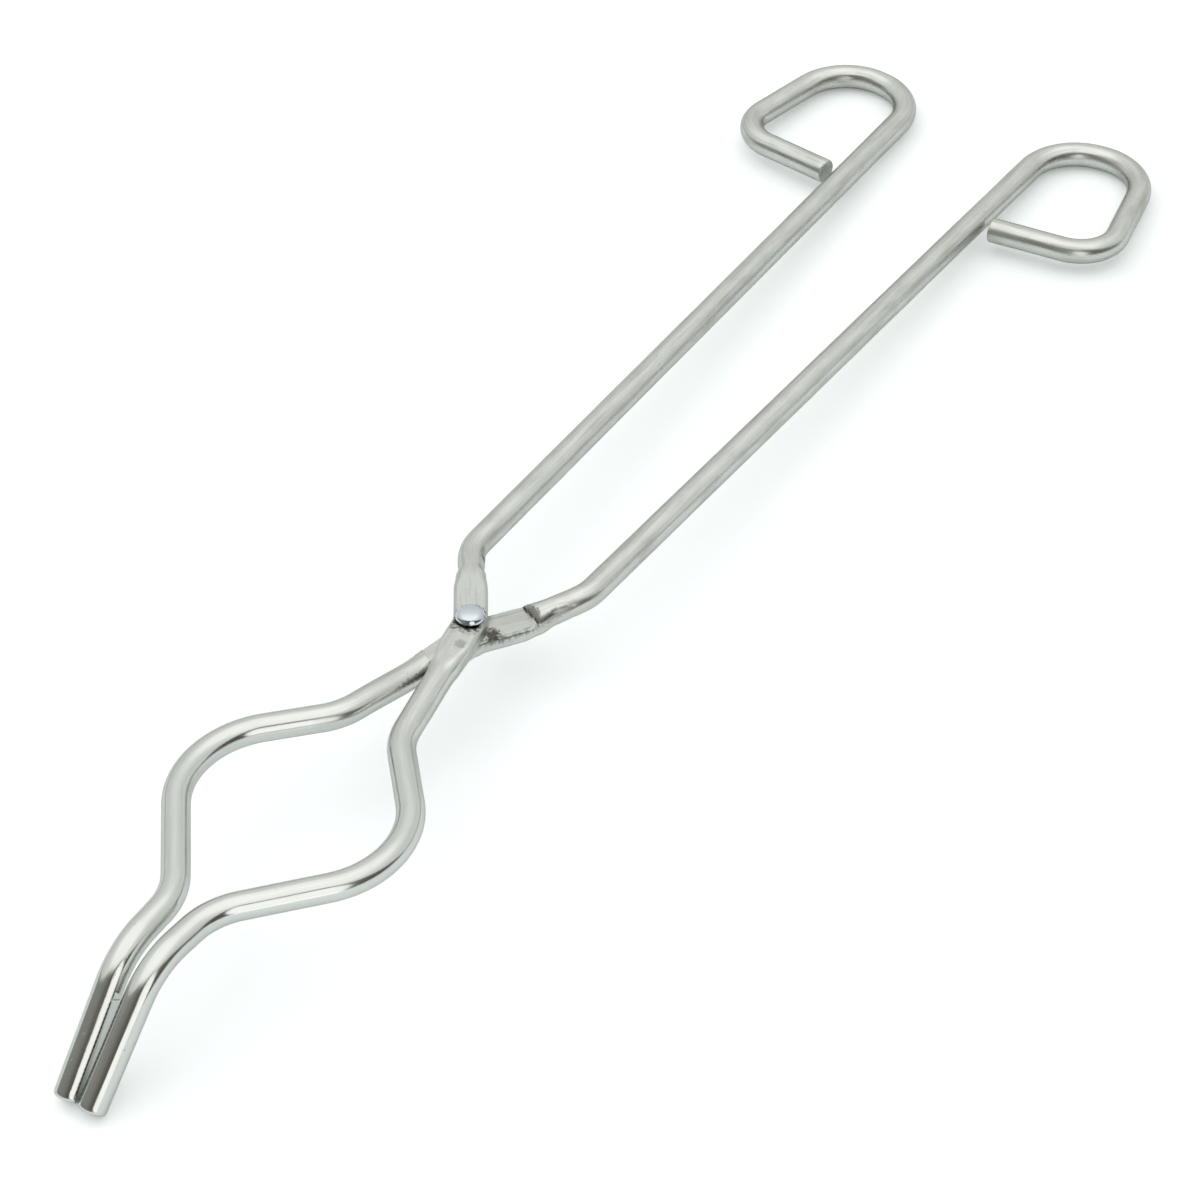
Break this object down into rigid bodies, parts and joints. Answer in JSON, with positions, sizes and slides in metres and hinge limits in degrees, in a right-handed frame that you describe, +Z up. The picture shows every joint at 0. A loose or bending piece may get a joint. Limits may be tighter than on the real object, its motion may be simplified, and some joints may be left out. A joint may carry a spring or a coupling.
{
  "type": "crucible tongs",
  "caption": "Scissor-action laboratory tongs of bent round bar, with finger loops, bowed jaws, down-turned gripping tips and a riveted half lap.",
  "frame": {"origin": "on the surface that the tongs lie on, under the middle of their bounding box", "axes": "+X along the tongs, from the finger loops to the tips; +Y to the side of the lower arm's handle; +Z up, with the tips turned down"},
  "size_m": [0.3076, 0.0894, 0.021],
  "materials": {
    "arm_steel": "satin bar, brighter towards the tips",
    "rivet_steel": "polished"
  },
  "bodies": {
    "lower": {"lower_arm": "arm_steel", "pivot_rivet": "rivet_steel"},
    "upper": {"upper_arm": "arm_steel"}
  },
  "joints": [
    {"name": "pivot", "type": "hinge", "parent": "lower", "child": "upper", "pos_m": [0.04024, 0, 0.01345], "axis": [-0.0571, 0, 0.9984], "range_deg": [-0.25, 100]}
  ]
}
